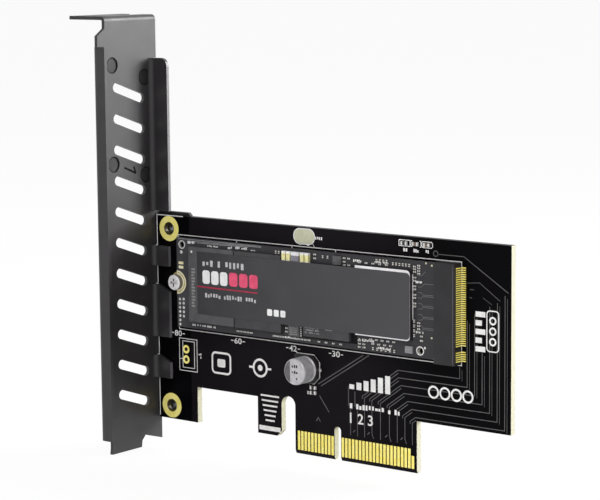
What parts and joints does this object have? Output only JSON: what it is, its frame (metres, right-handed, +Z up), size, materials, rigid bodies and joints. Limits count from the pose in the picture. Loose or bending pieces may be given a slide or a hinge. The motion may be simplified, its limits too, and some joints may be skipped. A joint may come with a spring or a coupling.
{
  "type": "nvme adapter card",
  "caption": "Expansion card that carries an M.2 drive module flat on a black circuit board with a four-lane edge connector and a vented slot bracket.",
  "frame": {"origin": "middle of the key notch on the bottom edge of the edge connector, halfway through the board's thickness", "axes": "+Z up out of the slot, +X along the board away from the bracket, the face that carries the drive module looks along -Y"},
  "size_m": [0.1152, 0.0244, 0.1065],
  "materials": {
    "black_laminate": "black solder mask over glass laminate, satin",
    "module_laminate": "black solder mask, satin",
    "gold_plate": "thin gold over copper",
    "contact_gold": "gold-plated spring strip",
    "black_paint": "black paint on folded steel, satin",
    "connector_resin": "moulded black resin",
    "chip_resin": "moulded package",
    "lid_metal": "dark metal lid",
    "label_film": "dark film label",
    "tan_ceramic": "ceramic capacitor body with tinned ends",
    "ferrite": "grey ferrite block",
    "resistor_black": "black film resistor on ceramic",
    "screw_steel": "nickel-plated steel",
    "can_aluminium": "sleeveless aluminium can, satin",
    "base_resin": "moulded black base",
    "tin_lead": "tinned metal"
  },
  "bodies": {
    "root": {"adapter_board": "black_laminate", "mounting_hole_plating": "gold_plate", "header_hole_plating": "gold_plate", "spare_hole_plating": "gold_plate", "edge_contacts_front": "gold_plate", "edge_contacts_back": "gold_plate", "bracket": "black_paint", "m2_connector_housing": "connector_resin", "m2_contacts_upper": "contact_gold", "m2_contacts_lower": "contact_gold", "ssd_board": "module_laminate", "ssd_edge_contacts": "gold_plate", "ssd_end_ring": "gold_plate", "ssd_memory_left": "chip_resin", "ssd_memory_right": "chip_resin", "ssd_buffer_memory": "chip_resin", "ssd_controller_base": "chip_resin", "ssd_controller_lid": "lid_metal", "ssd_label": "label_film", "ssd_tall_capacitors": "tan_ceramic", "ssd_inductor": "ferrite", "ssd_power_chip": "chip_resin", "ssd_oscillator": "lid_metal", "ssd_small_parts": "tan_ceramic", "ssd_regulator": "chip_resin", "ssd_standoff": "gold_plate", "ssd_screw": "screw_steel", "capacitor_can": "can_aluminium", "capacitor_base": "base_resin", "capacitor_leads": "tin_lead", "board_resistors": "resistor_black", "board_capacitors": "tan_ceramic"}
  },
  "joints": []
}
